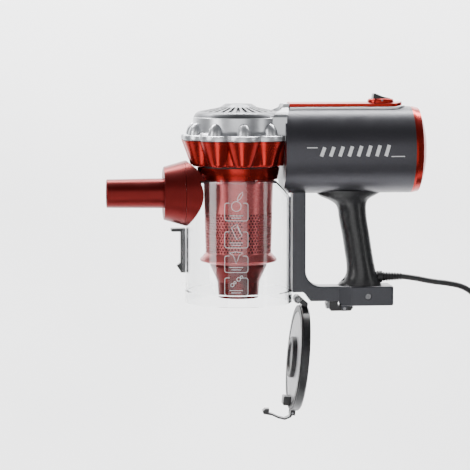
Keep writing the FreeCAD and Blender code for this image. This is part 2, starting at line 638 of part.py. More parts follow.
def make_base():
    """Block under the grip: narrow at the frame, full width behind, with two lugs for the lever."""
    shoulder = -9.4
    plan = [
        (BLOCK_FRONT, -FRAME_HALF), (shoulder, -BLOCK_HALF), (BLOCK_REAR, -BLOCK_HALF),
        (BLOCK_REAR, BLOCK_HALF), (shoulder, BLOCK_HALF), (BLOCK_FRONT, FRAME_HALF),
    ]
    face = Part.Face(polygon([V(x, y, BLOCK_BOTTOM) for x, y in plan]))
    block = face.extrude(V(0, 0, FOOT_TOP - SEAM - BLOCK_BOTTOM))

    def at_rear_corner(edge):
        return abs(edge.CenterOfMass.x - BLOCK_REAR) < 0.01 and abs(edge.CenterOfMass.y) > 10

    def on_level_rim(edge):
        level = edge.BoundBox.ZMax - edge.BoundBox.ZMin < 0.01
        return level and edge.CenterOfMass.x > BLOCK_FRONT + 0.5

    block = rounded(block, 3.0, at_rear_corner)
    block = rounded(block, 1.5, on_level_rim)
    corner = [(-23.0, BLOCK_BOTTOM - 1), (-23.0, BLOCK_BOTTOM + 4.4), (-17.8, BLOCK_BOTTOM - 1)]
    block = block.cut(slab(corner, -30, 30))
    lugs = [
        box(LEVER_X - 3.0, LEVER_X + 3.0, y, y + 2.0, LEVER_Z - 2.4, BLOCK_BOTTOM + 0.5)
        for y in (-10.4, 8.4)
    ]
    block = fuse([block] + lugs).cut(rod_y(LEVER_PIN_R, -10.5, 10.5, LEVER_X, LEVER_Z))
    save("base_block", block.cut(screw_recess()))


def make_lever():
    """Lever that hangs under the block on a cross pin, with a light tip in front."""
    side = [
        (-31.4, -60.9), (-22.6, -60.9), (-22.6, -66.2), (-7.2, -66.2), (-6.2, -67.4), (-9.0, -71.2),
        (-30.0, -71.2), (-31.4, -69.6),
    ]
    body = slab(side, -8.0, 8.0)
    save("release_lever", body.cut(rod_y(LEVER_PIN_R + FIT, -20, 20, LEVER_X, LEVER_Z)))
    save("lever_tip", slab([(-35.2, -63.0), (-31.45, -61.4), (-31.45, -68.8), (-34.2, -69.0)], -6.0, 6.0))
    save("lever_pin", rod_y(LEVER_PIN_R, -10.4, 10.4, LEVER_X, LEVER_Z))


GRIP_SECTIONS = (
    # height, middle x, half length along x, half width along y
    (56.0, -11.0, 36.0, 18.0), (52.0, -12.0, 32.0, 17.5), (46.5, -11.5, 22.0, 16.0), (41.0, -8.4, 16.4, 14.8),
    (30.0, -6.6, 14.8, 14.4), (10.0, -3.2, 14.5, 14.4), (-10.0, 0.0, 14.5, 14.4), (-28.0, 2.8, 15.3, 14.6),
    (-36.0, 3.0, 17.6, 15.0), (-41.0, 2.0, 21.4, 15.6), (FOOT_TOP, 1.6, 23.4, 16.4),
)


def grip_loft(shrink, lift):
    wires = []
    for z, x, a, b in GRIP_SECTIONS:
        major, minor = a - shrink, b - shrink
        ellipse = Part.Ellipse(V(x, 0, z + lift), major, minor)
        wires.append(Part.Wire(ellipse.toShape()))
    return Part.makeLoft(wires, True, False)


CORD_Z = -36.0


def make_grip():
    """Hollow hand grip that flares into the barrel above and the base block below."""
    wall = 2.8
    hollow = grip_loft(wall, 3.0).common(box(-60, 60, -30, 30, -41.5, 60))
    solid = grip_loft(0.0, 0.0).cut(hollow)
    solid = solid.cut(rod_x(SADDLE_R, -100, 80, BARREL_Z))
    solid = solid.cut(box(-80, ARM_REAR + 0.1, -30, 30, 30, 60))
    solid = solid.cut(rod_x(5.0, 8.0, 40.0, CORD_Z)).cut(screw_recess())
    save("grip_left", left_half(solid))
    save("grip_right", right_half(solid))


# ---- mains cord ----
def tube_path(points):
    """Straight runs joined by tangent arcs, each as wide as its two runs allow."""
    corners = [V(*p) for p in points]
    edges = []
    start = corners[0]
    radii = []
    for before, corner, after in zip(corners, corners[1:], corners[2:]):
        run_in = corner - before
        run_out = after - corner
        reach = 0.45 * min(run_in.Length, run_out.Length)
        half_turn = run_in.getAngle(run_out) / 2
        radius = reach / math.tan(half_turn)
        radii.append(round(radius, 1))
        run_in.normalize()
        run_out.normalize()
        a = corner - run_in * reach
        b = corner + run_out * reach
        inward = run_out - run_in
        inward.normalize()
        middle = corner + inward * (radius / math.cos(half_turn) - radius)
        edges.append(Part.LineSegment(start, a).toShape())
        edges.append(Part.Arc(a, middle, b).toShape())
        start = b
    edges.append(Part.LineSegment(start, corners[-1]).toShape())
    print("cord radii", radii)
    return Part.Wire(edges)


def cord_tube(name, points):
    path = tube_path(points)
    along = V(*points[1]) - V(*points[0])
    section = Part.Wire(Part.Circle(V(*points[0]), along, CORD_D / 2).toShape())
    solid = path.makePipe(Part.Face(section))
    expected = math.pi * (CORD_D / 2) ** 2 * path.Length
    print(name, "length", round(path.Length, 1), "filled", round(solid.Volume / expected, 4))
    save(name, solid)


def coil_ring(grow=0.0):
    """The tied coil as one rounded ring, or the same ring made larger all round by grow."""
    half = COIL_HALF + grow
    outer = rod_x(COIL_OUTER + grow, COIL_X - half, COIL_X + half, COIL_Z)
    bore = rod_x(COIL_INNER - grow, COIL_X - half - 1, COIL_X + half + 1, COIL_Z)
    return rounded(outer.cut(bore), 6.0, lambda e: e.Curve.TypeId == "Part::GeomCircle")


def make_cord():
    """Strain relief, visible lead, the tied coil of the rest, its tail, and the plug."""
    relief = Part.makeCone(4.75, 3.5, 24.3, V(22.1, 0, CORD_Z), V(1, 0, 0))
    boss = rod_x(6.2, 20.0, 25.4, CORD_Z)
    boss = boss.cut(grip_loft(0.0, 0.0))
    save("cord_strain_relief", fuse([relief, boss]).cut(grip_loft(0.0, 0.0)))
    clamp = box(6.0, 10.0, -6.5, 6.5, -41.0, -30.0)
    save("cord_clamp", clamp.cut(rod_x(CORD_D / 2 + 0.1, 0, 20, CORD_Z)))
    cord_tube("cord_lead", LEAD_ROUTE)
    cord_tube("cord_tail", TAIL_ROUTE)
    coil = coil_ring()
    save("cord_coil", coil)
    tie = coil_ring(1.4).common(box(100, 200, -6, 6, COIL_Z + 5, -50)).cut(coil)
    save("cord_tie", tie)
    foot = PLUG_TOP - 36.0
    thick = 13.6
    half = [(5, PLUG_TOP), (13, PLUG_TOP - 12), (13, foot + 8), (9, foot)]
    near = [V(PLUG_X - thick / 2, PLUG_Y - y, z) for y, z in half]
    far = [V(PLUG_X - thick / 2, PLUG_Y + y, z) for y, z in reversed(half)]
    body = Part.Face(polygon(near + far)).extrude(V(thick, 0, 0))
    save("mains_plug", rounded(body, 1.8, lambda e: True))
    pins = []
    for side in (-1, 1):
        pin = rod_z(2.0, foot - 19.0, foot, PLUG_X, PLUG_Y + side * PIN_SPACING)
        pins.append(rounded(pin, 0.8, lambda e: e.BoundBox.ZMax < foot - 18))
    save("plug_pins", Part.makeCompound(pins))


os.makedirs("parts", exist_ok=True)
make_inlet_tube()
make_inlet_ball()
make_bin()
make_latch()
make_door()
make_catch()
make_shroud()
make_collar_and_plate()
make_cones()
crown_shape = make_crown()
make_bridge(crown_shape)
make_filter_cap()
make_barrel()
make_rear_cap()
make_spine()
make_switch()
make_motor()
make_screws()
make_frame()
make_base()
make_lever()
make_grip()
make_cord()
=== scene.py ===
"""Looks of the handheld cyclone vacuum cleaner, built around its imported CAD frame. Lengths are in metres."""
import bpy
import bmesh
import json
import math
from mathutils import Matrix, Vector


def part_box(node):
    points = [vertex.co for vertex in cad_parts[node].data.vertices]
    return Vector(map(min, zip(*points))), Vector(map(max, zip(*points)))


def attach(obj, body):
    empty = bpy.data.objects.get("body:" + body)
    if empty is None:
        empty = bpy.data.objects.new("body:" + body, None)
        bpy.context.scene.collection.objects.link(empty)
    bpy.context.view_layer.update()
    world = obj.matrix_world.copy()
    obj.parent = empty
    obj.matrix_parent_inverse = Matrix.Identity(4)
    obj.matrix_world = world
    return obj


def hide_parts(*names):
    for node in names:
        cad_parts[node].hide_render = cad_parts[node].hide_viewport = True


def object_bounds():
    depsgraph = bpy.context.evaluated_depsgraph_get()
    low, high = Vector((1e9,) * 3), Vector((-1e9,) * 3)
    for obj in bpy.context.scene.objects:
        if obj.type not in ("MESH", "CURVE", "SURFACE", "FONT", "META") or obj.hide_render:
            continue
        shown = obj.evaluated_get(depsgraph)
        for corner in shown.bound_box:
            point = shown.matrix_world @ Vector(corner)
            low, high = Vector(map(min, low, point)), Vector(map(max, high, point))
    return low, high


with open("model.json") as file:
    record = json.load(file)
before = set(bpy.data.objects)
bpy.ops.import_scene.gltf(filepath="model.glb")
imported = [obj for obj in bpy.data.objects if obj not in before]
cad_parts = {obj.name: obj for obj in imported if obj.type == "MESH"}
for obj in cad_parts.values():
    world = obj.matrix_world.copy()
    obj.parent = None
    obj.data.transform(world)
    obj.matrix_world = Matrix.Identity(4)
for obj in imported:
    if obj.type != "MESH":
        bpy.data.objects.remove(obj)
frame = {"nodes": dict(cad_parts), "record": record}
cad_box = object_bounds()

MM = 0.001
TURN = 2 * math.pi
SHARP = 32.0            # degrees between two faces from which their edge stays crisp


def middle(node):
    low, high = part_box(node)
    return (low + high) / 2


# ---- places read from the frame ----
BIN_AXIS = middle("dust_shroud").x
BARREL_AXIS = middle("motor_stator").z
SHROUD_LOW, SHROUD_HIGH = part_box("dust_shroud")
CONES_LOW, CONES_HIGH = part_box("cyclone_cones")
CROWN_LOW, CROWN_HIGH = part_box("cyclone_crown")
CAP_LOW, CAP_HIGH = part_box("filter_cap")
REAR_CUT = CONES_HIGH.x                                     # the round cyclone parts are cut flat here
BARREL_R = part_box("motor_housing_left")[1].z - BARREL_AXIS
PLATE_EDGE = 3.3 * MM                                       # from the edge of the bin's top plate to its skin
BIN_SKIN = BIN_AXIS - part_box("bin_top_plate")[0].x + PLATE_EDGE
LOBES = 10
LOBE_TURN = math.radians(1)
LOBE_AXIS = 41 * MM


# ---- materials ----
def shader(name):
    """A new material with its Principled shader and object coordinates."""
    material = bpy.data.materials.new(name)
    material.use_nodes = True
    nodes = material.node_tree.nodes
    principled = nodes["Principled BSDF"]
    coords = nodes.new("ShaderNodeTexCoord")
    return material, nodes, material.node_tree.links, principled, coords


def noise(nodes, links, coords, scale, detail=3.0, stretch=None):
    """Noise over the object's own coordinates, drawn out along the axes where stretch is small."""
    texture = nodes.new("ShaderNodeTexNoise")
    texture.inputs["Scale"].default_value = scale
    texture.inputs["Detail"].default_value = detail
    source = coords.outputs["Object"]
    if stretch:
        mapping = nodes.new("ShaderNodeMapping")
        mapping.inputs["Scale"].default_value = stretch
        links.new(source, mapping.inputs["Vector"])
        source = mapping.outputs["Vector"]
    links.new(source, texture.inputs["Vector"])
    return texture.outputs["Fac"]


def ramp(nodes, links, value, low, high, start=0.35, end=0.65):
    """Colour between low and high as value goes from start to end."""
    stops = nodes.new("ShaderNodeValToRGB")
    stops.color_ramp.elements[0].position = start
    stops.color_ramp.elements[1].position = end
    stops.color_ramp.elements[0].color = (*low, 1)
    stops.color_ramp.elements[1].color = (*high, 1)
    links.new(value, stops.inputs["Fac"])
    return stops.outputs["Color"]


def spread(nodes, links, value, low, high):
    """Number between low and high that follows a noise value."""
    reach = nodes.new("ShaderNodeMapRange")
    reach.inputs["From Min"].default_value = 0.3
    reach.inputs["From Max"].default_value = 0.7
    reach.inputs["To Min"].default_value = low
    reach.inputs["To Max"].default_value = high
    links.new(value, reach.inputs["Value"])
    return reach.outputs["Result"]


def bump(nodes, links, principled, value, strength, depth):
    """Small relief on the surface that follows a noise value."""
    relief = nodes.new("ShaderNodeBump")
    relief.inputs["Strength"].default_value = strength
    relief.inputs["Distance"].default_value = depth
    links.new(value, relief.inputs["Height"])
    links.new(relief.outputs["Normal"], principled.inputs["Normal"])


def finish_of(name, low, high, metallic, rough, coat=0.0, flake=2600.0, grain=1500.0, relief=0.05,
              stretch=None):
    """Moulded or painted surface: fine flakes of colour, uneven gloss and a faint grain."""
    material, nodes, links, principled, coords = shader(name)
    flakes = noise(nodes, links, coords, flake, 2.0, stretch)
    links.new(ramp(nodes, links, flakes, low, high), principled.inputs["Base Color"])
    patches = noise(nodes, links, coords, 38.0, 4.0)
    links.new(spread(nodes, links, patches, rough * 0.85, rough * 1.15), principled.inputs["Roughness"])
    principled.inputs["Metallic"].default_value = metallic
    principled.inputs["Coat Weight"].default_value = coat
    principled.inputs["Coat Roughness"].default_value = 0.12
    bump(nodes, links, principled, noise(nodes, links, coords, grain, 3.0), relief, 0.00006)
    return material


def clear_plastic(name, tint, rough):
    """Clear moulded plastic with faint smears."""
    material, nodes, links, principled, coords = shader(name)
    smears = noise(nodes, links, coords, 22.0, 5.0)
    links.new(ramp(nodes, links, smears, tint, (1.0, 1.0, 1.0)), principled.inputs["Base Color"])
    links.new(spread(nodes, links, smears, rough, rough * 2.2), principled.inputs["Roughness"])
    principled.inputs["Transmission Weight"].default_value = 1.0
    principled.inputs["IOR"].default_value = 1.42
    principled.inputs["Specular IOR Level"].default_value = 0.12
    bump(nodes, links, principled, noise(nodes, links, coords, 60.0, 2.0), 0.02, 0.0002)
    return material


def tinted_plastic(name, low, high):
    """Tinted plastic with a metallic sheen, through which very little shows."""
    material, nodes, links, principled, coords = shader(name)
    haze = noise(nodes, links, coords, 600.0, 2.0)
    links.new(ramp(nodes, links, haze, low, high), principled.inputs["Base Color"])
    principled.inputs["Metallic"].default_value = 0.45
    principled.inputs["Roughness"].default_value = 0.3
    principled.inputs["Transmission Weight"].default_value = 0.06
    principled.inputs["IOR"].default_value = 1.45
    bump(nodes, links, principled, noise(nodes, links, coords, 1200.0, 3.0), 0.04, 0.00006)
    return material


MATERIALS = {
    "gunmetal": finish_of("gunmetal_paint", (0.058, 0.057, 0.066), (0.064, 0.063, 0.073), 0.6, 0.33,
                          flake=900.0, relief=0.0),
    "frame_grey": finish_of("frame_paint", (0.042, 0.043, 0.05), (0.066, 0.067, 0.078), 0.35, 0.36, 0.05),
    "metallic_red": finish_of("red_paint", (0.3, 0.016, 0.012), (0.38, 0.022, 0.016), 0.9, 0.25),
    "satin_red": finish_of("satin_red", (0.12, 0.006, 0.006), (0.155, 0.008, 0.007), 0.8, 0.33),
    "silver": finish_of("silver_paint", (0.56, 0.57, 0.59), (0.72, 0.73, 0.75), 0.9, 0.34),
    "cap_grey": finish_of("cap_paint", (0.12, 0.123, 0.13), (0.175, 0.178, 0.187), 0.85, 0.36),
    "clear_plastic": clear_plastic("clear_bin", (0.96, 0.97, 0.98), 0.015),
    "shroud_grey": tinted_plastic("shroud_tint", (0.58, 0.1, 0.1), (0.7, 0.16, 0.16)),
    "black_plastic": finish_of("black_plastic", (0.012, 0.012, 0.013), (0.02, 0.02, 0.022), 0.0, 0.34,
                               flake=300.0, grain=1400.0, relief=0.12),
    "door_face": finish_of("grey_plastic", (0.3, 0.3, 0.31), (0.38, 0.38, 0.39), 0.0, 0.4,
                           flake=200.0, grain=700.0),
    "rubber_black": finish_of("black_rubber", (0.01, 0.01, 0.011), (0.018, 0.018, 0.019), 0.0, 0.5,
                              flake=500.0, grain=1800.0, relief=0.25),
    "steel": finish_of("plain_steel", (0.2, 0.2, 0.21), (0.3, 0.3, 0.31), 1.0, 0.32, stretch=(1, 12, 1)),
    "fan_alloy": finish_of("cast_alloy", (0.6, 0.6, 0.62), (0.75, 0.75, 0.77), 1.0, 0.4),
    "copper": finish_of("copper", (0.6, 0.28, 0.14), (0.72, 0.36, 0.2), 1.0, 0.3),
    "foam": finish_of("filter_foam", (0.05, 0.05, 0.06), (0.16, 0.16, 0.18), 0.0, 0.9,
                      flake=900.0, grain=700.0, relief=1.0),
    "print_white": finish_of("white_print", (0.78, 0.78, 0.79), (0.86, 0.86, 0.87), 0.0, 0.5),
}


def dress_nodes():
    """Every CAD node that stays takes the finish of its own slot."""
    for part in frame["record"]["subparts"]:
        node = frame["nodes"][part["node"]]
        node.data.materials.clear()
        node.data.materials.append(MATERIALS[part["material_slot"]])
        node.data.polygons.foreach_set("material_index", [0] * len(node.data.polygons))


# ---- mesh helpers ----
def add_piece(name, vertices, faces, slot_name, body, sharp=SHARP):
    """A closed mesh piece in its slot's material, riding on a body."""
    mesh = bpy.data.meshes.new(name)
    mesh.from_pydata([tuple(v) for v in vertices], [], faces)
    mesh.validate()
    work = bmesh.new()
    work.from_mesh(mesh)
    bmesh.ops.remove_doubles(work, verts=work.verts, dist=1e-6)
    bmesh.ops.recalc_face_normals(work, faces=work.faces)
    work.to_mesh(mesh)
    work.free()
    return settle(mesh, name, slot_name, body, sharp)


def settle(mesh, name, slot_name, body, sharp):
    """Turn a mesh into a shaded piece in its slot's material, on its body."""
    mesh.shade_smooth()
    mesh.set_sharp_from_angle(angle=math.radians(sharp))
    piece = bpy.data.objects.new(name, mesh)
    bpy.context.scene.collection.objects.link(piece)
    mesh.materials.clear()
    mesh.materials.append(MATERIALS[slot_name])
    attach(piece, body)
    return piece


def loops_to_faces(rows, count, closed_rows=False):
    """Quads between successive closed rings of count points each."""
    faces = []
    pairs = list(zip(range(rows - 1), range(1, rows)))
    if closed_rows:
        pairs.append((rows - 1, 0))
    for a, b in pairs:
        for i in range(count):
            j = (i + 1) % count
            faces.append((a * count + i, a * count + j, b * count + j, b * count + i))
    return faces


def about_bin(radius, angle, z):
    """Point about the bin's axis; angle 0 faces -Y and grows towards +X."""
    return Vector((BIN_AXIS + radius * math.sin(angle), -radius * math.cos(angle), z))


def cut_flat(piece, x):
    """Cut a closed piece by the plane at x, keep what lies in front and close the cut."""
    work = bmesh.new()
    work.from_mesh(piece.data)
    everything = work.verts[:] + work.edges[:] + work.faces[:]
    cut = bmesh.ops.bisect_plane(work, geom=everything, plane_co=(x, 0, 0), plane_no=(1, 0, 0),
                                 clear_outer=True)
    edges = [e for e in cut["geom_cut"] if isinstance(e, bmesh.types.BMEdge)]
    bmesh.ops.edgenet_fill(work, edges=edges)
    bmesh.ops.recalc_face_normals(work, faces=work.faces)
    work.to_mesh(piece.data)
    work.free()
    piece.data.set_sharp_from_angle(angle=math.radians(SHARP))


# ---- cyclone cones ----
LOBE_SIDE = 12          # points on each side of a lobe's nose
WEB_POINTS = 4          # steps across the web between two lobes
CREASE_SEARCH = 40      # halvings in the search for the crease between lobe and core
LOBE_FOOT_R = 10 * MM
LOBE_TOP_R = 20 * MM
CORE_FOOT_R = 44.2 * MM
CORE_TOP_R = 52.8 * MM
CONE_BORE = 36 * MM
BORE_GUIDE_R = 53 * MM  # core radius of the outline at whose angles the bore's points stand
CONE_STEPS = 14
CONE_EDGE = 1.1 * MM    # rounding at the foot of the cones


def lobe_ring(lobe_r, core_r):
    """Outline of round lobes about a round core, with points on each crease, as (radius, angle) pairs."""
    half = math.pi / LOBES
    low, high = 0.0, half
    for _ in range(CREASE_SEARCH):
        mid = (low + high) / 2
        if nose_radius(lobe_r, mid) > core_r:
            low = mid
        else:
            high = mid
    crease = low
    outline = []
    for lobe in range(LOBES):
        turn = LOBE_TURN + lobe * TURN / LOBES
        for i in range(-LOBE_SIDE, LOBE_SIDE + 1):
            angle = crease * i / LOBE_SIDE
            outline.append((max(nose_radius(lobe_r, angle), core_r), turn + angle))
        for i in range(1, WEB_POINTS):
            angle = crease + (2 * half - 2 * crease) * i / WEB_POINTS
            outline.append((core_r, turn + angle))
    return outline


def nose_radius(lobe_r, angle):
    """Distance from the bin's axis to a lobe's round nose, at an angle from the lobe's middle."""
    side = abs(LOBE_AXIS * math.sin(angle))
    if side >= lobe_r:
        return 0.0
    return LOBE_AXIS * math.cos(angle) + math.sqrt(lobe_r ** 2 - side ** 2)


def make_cones():
    """Ring of upright red cones, wider at the top, round a hollow core."""
    foot, top = CONES_LOW.z, CONES_HIGH.z
    rise = foot + CONE_EDGE
    levels = [(foot, -CONE_EDGE), (foot + CONE_EDGE * 0.3, -CONE_EDGE * 0.3), (rise, 0.0)]
    levels += [(rise + (top - rise) * (i + 1) / CONE_STEPS, 0.0) for i in range(CONE_STEPS)]
    rows = []
    for z, inset in levels:
        share = (z - foot) / (top - foot)
        lobe_r = LOBE_FOOT_R + (LOBE_TOP_R - LOBE_FOOT_R) * share + inset
        core_r = CORE_FOOT_R + (CORE_TOP_R - CORE_FOOT_R) * share + inset
        rows.append([about_bin(r, a, z) for r, a in lobe_ring(lobe_r, core_r)])
    angles = [a for r, a in lobe_ring(LOBE_TOP_R, BORE_GUIDE_R)]
    for z in (top, foot):
        rows.append([about_bin(CONE_BORE, a, z) for a in angles])
    vertices = [p for row in rows for p in row]
    faces = loops_to_faces(len(rows), len(rows[0]), closed_rows=True)
    cones = add_piece("cyclone_cone_ring", vertices, faces, "metallic_red", "root", 28)
    cut_flat(cones, REAR_CUT)
    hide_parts("cyclone_cones")


# ---- silver crown ----
CROWN_FOOT = CROWN_LOW.z
BAND_TOP = CROWN_FOOT + 6 * MM
BAND_LOBE_R = 20.4      # mm
BAND_CORE_R = 53.5      # mm
BAND_SECTION = (
    # height above the crown's foot and inset from the full outline, mm
    (0.2, 1.6), (0.2, 0.9), (0.7, 0.2), (1.5, 0.0), (4.6, 0.0), (5.5, 0.25), (6.0, 1.1), (5.8, 2.4),
)
BAND_BORE = ((46.0, 5.6), (46.0, 0.2))      # radius and height, mm
WALL_POINTS = 120
CROWN_CREASE = 40       # degrees
DOME_TALL = 12.4 * MM
DOME_R = 7.4 * MM
DOME_AXIS = 49.0        # mm from the bin's axis at the dome's foot
DOME_LEAN = 1.4         # mm towards the wall at the dome's top
DOME_POINTS = 40


def make_crown():
    """Silver cover of the cones, in three pieces."""
    for piece in (make_crown_band(), make_crown_wall(), make_domes()):
        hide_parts("cyclone_crown")


def make_crown_band():
    """Scalloped band that follows the tops of the cones."""
    band = []
    for z, inset in BAND_SECTION:
        ring = lobe_ring((BAND_LOBE_R - inset) * MM, (BAND_CORE_R - inset) * MM)
        band.append([about_bin(r, a, CROWN_FOOT + z * MM) for r, a in ring])
    angles = [a for r, a in lobe_ring(BAND_LOBE_R * MM, BAND_CORE_R * MM)]
    for r, z in BAND_BORE:
        band.append([about_bin(r * MM, a, CROWN_FOOT + z * MM) for a in angles])
    faces = loops_to_faces(len(band), len(band[0]), closed_rows=True)
    rim = add_piece("crown_band", [p for row in band for p in row], faces, "silver", "root", CROWN_CREASE)
    cut_flat(rim, REAR_CUT)
    return rim


def make_crown_wall():
    """Round wall above the band, with a hollow curve at its foot."""
    top = CROWN_HIGH.z
    section = (
        (45.2, BAND_TOP - MM), (52.0, BAND_TOP - MM), (52.0, BAND_TOP), (49.6, BAND_TOP + 0.9 * MM),
        (48.2, BAND_TOP + 2.4 * MM), (47.5, BAND_TOP + 4.8 * MM), (47.5, top - 0.5 * MM), (47.1, top),
        (45.2, top),
    )
    wall = []
    for r, z in section:
        wall.append([about_bin(r * MM, TURN * i / WALL_POINTS, z) for i in range(WALL_POINTS)])
    faces = loops_to_faces(len(wall), WALL_POINTS, closed_rows=True)
    shell = add_piece("crown_wall", [p for row in wall for p in row], faces, "silver", "root", CROWN_CREASE)
    cut_flat(shell, REAR_CUT)
    return shell


def make_domes():
    """Hoods over the cones: each leans towards the wall as it rises and closes in a round top."""
    shares = [-0.06] + [math.sin(math.radians(t)) for t in range(0, 90, 6)] + [0.9995]
    vertices = []
    faces = []
    for lobe in range(LOBES):
        turn = LOBE_TURN + lobe * TURN / LOBES
        behind_cut = BIN_AXIS + 60 * MM * math.sin(turn) > REAR_CUT
        if behind_cut:
            continue
        start = len(vertices)
        for share in shares:
            lift = max(share, 0.0)
            round_r = DOME_R * math.sqrt(1.0 - lift ** 2)
            centre = about_bin((DOME_AXIS - DOME_LEAN * lift) * MM, turn, BAND_TOP + DOME_TALL * share)
            for i in range(DOME_POINTS):
                around = TURN * i / DOME_POINTS
                vertices.append(centre + Vector((math.cos(around), math.sin(around), 0.0)) * round_r)
        faces += [tuple(start + k for k in f) for f in loops_to_faces(len(shares), DOME_POINTS)]
        faces.append(tuple(start + i for i in range(DOME_POINTS)))
        faces.append(tuple(start + (len(shares) - 1) * DOME_POINTS + i for i in range(DOME_POINTS)))
    return add_piece("crown_domes", vertices, faces, "silver", "root", CROWN_CREASE)


# ---- ribbed filter cap ----
RIBS = 30
CAP_SECTION = (
    # radius mm, share of the drop from the top, groove depth mm
    (0.5, 0.0, 0), (12.6, 0.0, 0), (14.0, 0.02, 0), (15.2, 0.08, 0), (18.0, 0.2, 0), (19.4, 0.27, 0),
    (20.0, 0.29, 2.1), (27.0, 0.4, 2.1), (34.0, 0.5, 2.1), (39.6, 0.58, 1.9), (40.6, 0.595, 0),
    (42.0, 0.62, 0), (44.0, 0.71, 0), (45.2, 0.78, 0), (46.9, 1.0, 0), (43.5, 1.0, 0), (40.0, 0.9, 0),
    (0.5, 0.9, 0),
)
RIB_PARTS = (0.0, 0.24, 0.28, 0.5, 0.72, 0.76)      # corners of a rib and its groove, in shares of the pitch
GROOVE_FROM, GROOVE_TO = 0.26, 0.74


def make_filter_cap():
    """Low round cap with grooves between radial ribs."""
    drop = CAP_HIGH.z - CAP_LOW.z
    rows = []
    for r, share, groove in CAP_SECTION:
        row = []
        for rib in range(RIBS):
            for part in RIB_PARTS:
                deep = groove if GROOVE_FROM < part < GROOVE_TO else 0.0
                angle = TURN * (rib + part) / RIBS
                row.append(about_bin(r * MM, angle, CAP_HIGH.z - drop * share - deep * MM))
        rows.append(row)
    count = len(rows[0])
    faces = loops_to_faces(len(rows), count)
    vertices = [p for row in rows for p in row]
    for last in (0, (len(rows) - 1) * count):
        faces.append(tuple(last + i for i in range(count)))
    cap = add_piece("ribbed_filter_cap", vertices, faces, "cap_grey", "filter_cap", 25)
    cut_flat(cap, REAR_CUT)
    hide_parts("filter_cap")


# ---- perforated shroud ----
HOLE_R = 1.2 * MM
ROW_HEIGHT = 3.3 * MM * 0.9
HOLE_ROWS = 14
HOLE_COLUMNS = 66
SOLID_COLUMNS = {0, 1, 22, 23, 44, 45}      # the three upright ribs without holes
HOLE_CORNERS = 8
SHROUD_WALL = 1.6 * MM
SHROUD_TOP_R = 36.5 * MM
SHROUD_TAPER = 2.1 * MM
HOLES_FROM = SHROUD_LOW.z + 1.2 * MM
HOLES_TO = HOLES_FROM + HOLE_ROWS * ROW_HEIGHT
# corners and middles of the sides of one cell, in shares of a column and a row
CELL = ((-.5, -.5), (0, -.5), (.5, -.5), (.5, 0), (.5, .5), (0, .5), (-.5, .5), (-.5, 0))


def shroud_radius(z):
    """The shroud narrows evenly towards its foot."""
    share = (SHROUD_HIGH.z - z) / (SHROUD_HIGH.z - SHROUD_LOW.z)
    return SHROUD_TOP_R - SHROUD_TAPER * share


def on_shroud(angle, z, depth):
    return about_bin(shroud_radius(z) - depth, angle, z)


def further_in(point):
    """The point one wall further in, seen from a point on the shroud's outer face."""
    out = Vector((point.x - BIN_AXIS, point.y, 0.0))
    return point - out.normalized() * SHROUD_WALL


def add_cell(vertices, faces, row, column, depth):
    """One cell of the shroud's outer or inner face, with its round hole unless it lies in a rib."""
    stagger = 0.5 + 0.5 * (row % 2)
    edge = len(vertices)
    for across, up in CELL:
        angle = TURN * (column + stagger + across) / HOLE_COLUMNS
        vertices.append(on_shroud(angle, HOLES_FROM + (row + 0.5 + up) * ROW_HEIGHT, depth))
    if column in SOLID_COLUMNS:
        faces.append(tuple(range(edge, edge + len(CELL))))
        return
    hole = len(vertices)
    middle_angle = TURN * (column + stagger) / HOLE_COLUMNS
    middle_z = HOLES_FROM + (row + 0.5) * ROW_HEIGHT
    for step in range(HOLE_CORNERS):
        turn = TURN * step / HOLE_CORNERS - math.radians(135)
        angle = middle_angle + HOLE_R * math.cos(turn) / shroud_radius(HOLES_FROM)
        vertices.append(on_shroud(angle, middle_z + HOLE_R * math.sin(turn), depth))
    pairs = [(i, (i + 1) % HOLE_CORNERS) for i in range(HOLE_CORNERS)]
    faces.extend((edge + i, edge + j, hole + j, hole + i) for i, j in pairs)
    if depth == 0.0:
        inner = len(vertices)
        vertices.extend([further_in(vertices[hole + i]) for i in range(HOLE_CORNERS)])
        faces.extend((hole + i, hole + j, inner + j, inner + i) for i, j in pairs)


def add_bands(vertices, faces, levels):
    """Plain rings through (height, depth) levels."""
    start = len(vertices)
    count = 2 * HOLE_COLUMNS
    for z, depth in levels:
        vertices.extend(on_shroud(TURN * i / count, z, depth) for i in range(count))
    faces.extend(tuple(start + k for k in f) for f in loops_to_faces(len(levels), count))


def make_shroud():
    """Tapered sleeve whose lower part is pierced by round holes in staggered rows, between solid ribs."""
    vertices = []
    faces = []
    for depth in (0.0, SHROUD_WALL):
        for row in range(HOLE_ROWS):
            for column in range(HOLE_COLUMNS):
                add_cell(vertices, faces, row, column, depth)
    steps = [HOLES_TO + (SHROUD_HIGH.z - HOLES_TO) * i / 6 for i in range(7)]
    outside = [(z, 0.0) for z in steps]
    inside = [(z, SHROUD_WALL) for z in reversed(steps)]
    add_bands(vertices, faces, outside + inside)
    foot = SHROUD_LOW.z
    hem = [(HOLES_FROM, SHROUD_WALL), (foot, SHROUD_WALL), (foot, 0.0), (HOLES_FROM, 0.0)]
    add_bands(vertices, faces, hem)
    sleeve = add_piece("perforated_shroud", vertices, faces, "shroud_grey", "root", 30)
    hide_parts("dust_shroud")


# ---- mains lead ----
CORD_D = 6 * MM
COIL = middle("cord_coil")
COIL_COLUMNS = 6
COIL_SPACE = 6.1 * MM
TURN_POINTS = 16
SWAP_FROM, SWAP_TO = 0.62, 0.88             # share of a turn in which the lead moves to its next turn
INWARD_TURNS = (45.3, 39.1, 32.9, 26.7)     # radii in mm
OUTWARD_TURNS = (29.8, 36.0, 42.2)
